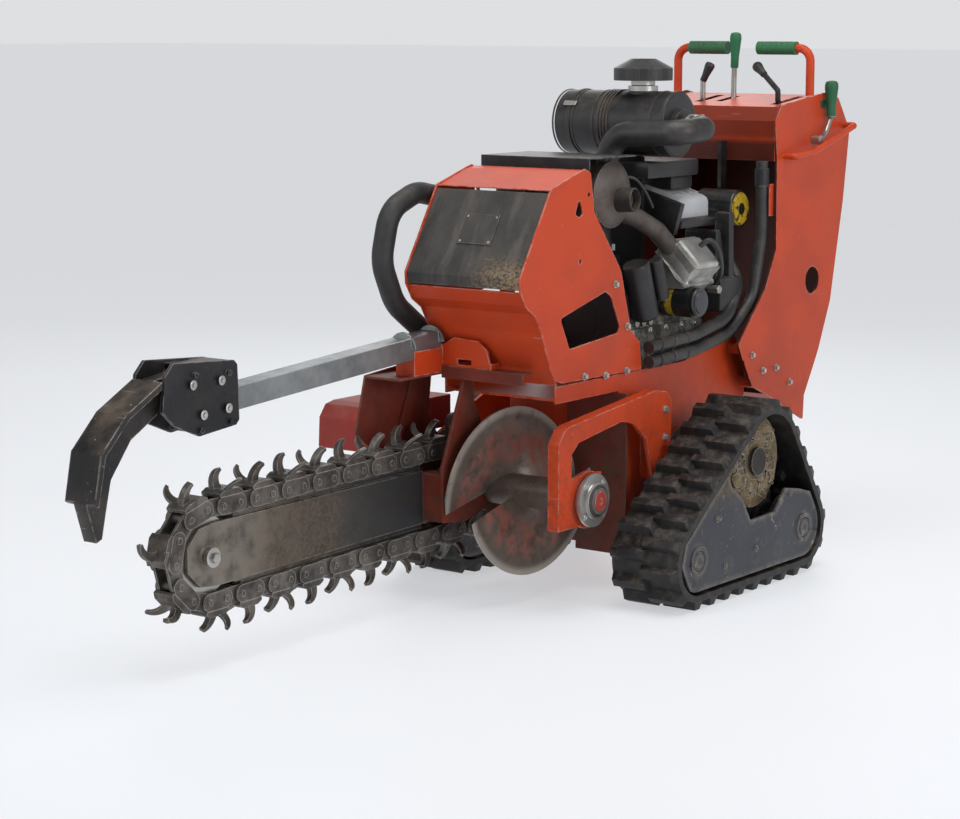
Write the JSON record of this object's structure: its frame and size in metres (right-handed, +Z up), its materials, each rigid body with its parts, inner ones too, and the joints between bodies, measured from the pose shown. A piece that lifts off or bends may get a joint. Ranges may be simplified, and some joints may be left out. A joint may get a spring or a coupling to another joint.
{
  "type": "walk-behind tracked trencher",
  "caption": "Walk-behind tracked trencher with a chain digging boom, spoil auger, trench cleaner, exposed engine and a stand-behind control console.",
  "frame": {"origin": "centre of the bounding box's bottom face, on the ground", "axes": "+X to the side of the auger, +Y from the digging boom towards the operator's console, +Z up"},
  "size_m": [0.83, 2.4616, 1.3104],
  "materials": {
    "orange_paint": "glossy orange paint, scuffed and dusty",
    "worn_orange": "dark orange paint worn to bare rusty steel",
    "charcoal_paint": "dusty charcoal paint",
    "red_guard": "faded red",
    "black_plastic": "satin black",
    "green_grip": "ribbed green rubber",
    "cast_aluminium": "as cast, a little oily",
    "cast_iron": "black cast iron",
    "filter_can": "black can with a yellow band",
    "hot_steel": "brown-grey heat-stained steel",
    "black_steel": "chipped black paint",
    "hose_rubber": "smooth black hose",
    "hose_sleeve": "wrinkled sleeve",
    "zinc_steel": "zinc plated",
    "track_rubber": "dusty track rubber",
    "slate_steel": "scratched slate paint",
    "boom_steel": "dirty worn steel",
    "chain_steel": "rusty forged steel",
    "galvanised": "galvanised tube",
    "bright_steel": "polished by wear",
    "auger_steel": "worn steel with red rust",
    "muddy_steel": "caked with dry mud"
  },
  "bodies": {
    "chassis": {"main_frame": "orange_paint", "hood_side_right": "orange_paint", "hood_side_left": "orange_paint", "hood_top": "orange_paint", "hood_front_panel": "charcoal_paint", "hood_lower_panel": "orange_paint", "badge_plate": "charcoal_paint", "console_sides": "orange_paint", "console_cover": "orange_paint", "handle_bars": "orange_paint", "handle_grips": "green_grip", "engine_block": "cast_aluminium", "cylinder_heads": "cast_aluminium", "blower_housing": "black_plastic", "oil_filter": "filter_can", "muffler": "hot_steel", "heat_shield": "black_steel", "air_cleaner": "black_plastic", "rain_cap": "black_plastic", "intake_hose": "hose_rubber", "hose_clamps": "zinc_steel", "hydraulic_filter": "filter_can", "hydraulic_pump": "cast_iron", "hose_bundle": "hose_rubber", "hose_loop": "hose_sleeve", "head_brackets": "orange_paint", "shaft_bearings": "zinc_steel", "head_motor": "cast_iron", "apron": "worn_orange", "left_fender": "red_guard", "track_belt_right": "track_rubber", "track_belt_left": "track_rubber", "track_frame_right": "slate_steel", "track_frame_left": "slate_steel", "track_motors": "cast_iron", "bolts": "zinc_steel"},
    "boom": {"boom_frame": "worn_orange", "boom_guard": "worn_orange", "boom_bar": "boom_steel", "chain_inner_links": "chain_steel", "chain_outer_links": "chain_steel", "chain_cutters": "chain_steel", "crumber_bracket": "orange_paint", "crumber_bar": "galvanised", "crumber_head": "black_steel", "crumber_shoe": "black_steel"},
    "digging_shaft": {"headshaft": "bright_steel", "dig_sprocket": "chain_steel", "auger": "auger_steel"},
    "tip_roller": {"nose_roller": "bright_steel"},
    "drive_sprocket_right": {"sprocket_right": "muddy_steel"},
    "drive_sprocket_left": {"sprocket_left": "muddy_steel"},
    "idler_front_right": {"front_idler_right": "slate_steel"},
    "idler_front_left": {"front_idler_left": "slate_steel"},
    "idler_rear_right": {"rear_idler_right": "slate_steel"},
    "idler_rear_left": {"rear_idler_left": "slate_steel"},
    "left_control": {"lever_left": "black_plastic"},
    "centre_control": {"lever_centre": "green_grip"},
    "right_control": {"lever_right": "black_plastic"},
    "side_control": {"lever_side": "green_grip"}
  },
  "joints": [
    {"name": "boom_swing", "type": "hinge", "parent": "chassis", "child": "boom", "pos_m": [-0.14, 0.01519, 0.262], "axis": [1, 0, 0], "range_deg": [0, 60]},
    {"name": "digging_spin", "type": "hinge", "parent": "boom", "child": "digging_shaft", "pos_m": [-0.14, 0.01519, 0.262], "axis": [1, 0, 0], "continuous": true},
    {"name": "tip_spin", "type": "hinge", "parent": "boom", "child": "tip_roller", "pos_m": [-0.14, -0.89907, 0.24604], "axis": [1, 0, 0], "continuous": true},
    {"name": "sprocket_spin_right", "type": "hinge", "parent": "chassis", "child": "drive_sprocket_right", "pos_m": [0.325, 0.50019, 0.298], "axis": [1, 0, 0], "continuous": true},
    {"name": "front_idler_spin_right", "type": "hinge", "parent": "chassis", "child": "idler_front_right", "pos_m": [0.325, 0.17919, 0.115], "axis": [1, 0, 0], "continuous": true},
    {"name": "rear_idler_spin_right", "type": "hinge", "parent": "chassis", "child": "idler_rear_right", "pos_m": [0.325, 0.66619, 0.115], "axis": [1, 0, 0], "continuous": true},
    {"name": "sprocket_spin_left", "type": "hinge", "parent": "chassis", "child": "drive_sprocket_left", "pos_m": [-0.325, 0.50019, 0.298], "axis": [1, 0, 0], "continuous": true},
    {"name": "front_idler_spin_left", "type": "hinge", "parent": "chassis", "child": "idler_front_left", "pos_m": [-0.325, 0.17919, 0.115], "axis": [1, 0, 0], "continuous": true},
    {"name": "rear_idler_spin_left", "type": "hinge", "parent": "chassis", "child": "idler_rear_left", "pos_m": [-0.325, 0.66619, 0.115], "axis": [1, 0, 0], "continuous": true},
    {"name": "left_lever", "type": "hinge", "parent": "chassis", "child": "left_control", "pos_m": [-0.076, 0.99519, 1], "axis": [1, 0, 0], "range_deg": [-28, 4]},
    {"name": "centre_lever", "type": "hinge", "parent": "chassis", "child": "centre_control", "pos_m": [-0.021, 0.99519, 1], "axis": [1, 0, 0], "range_deg": [-2, 24]},
    {"name": "right_lever", "type": "hinge", "parent": "chassis", "child": "right_control", "pos_m": [0.16, 0.99519, 1], "axis": [1, 0, 0], "range_deg": [-38, 3]},
    {"name": "side_lever", "type": "hinge", "parent": "chassis", "child": "side_control", "pos_m": [0.228, 1.03419, 1.039], "axis": [1, 0, 0], "range_deg": [-12, 14]}
  ],
  "couplings": [
    {"joint": "tip_spin", "follows": "digging_spin", "ratio": 1},
    {"joint": "front_idler_spin_right", "follows": "sprocket_spin_right", "ratio": 1.4693},
    {"joint": "rear_idler_spin_right", "follows": "sprocket_spin_right", "ratio": 1.4693},
    {"joint": "front_idler_spin_left", "follows": "sprocket_spin_left", "ratio": 1.4693},
    {"joint": "rear_idler_spin_left", "follows": "sprocket_spin_left", "ratio": 1.4693}
  ]
}
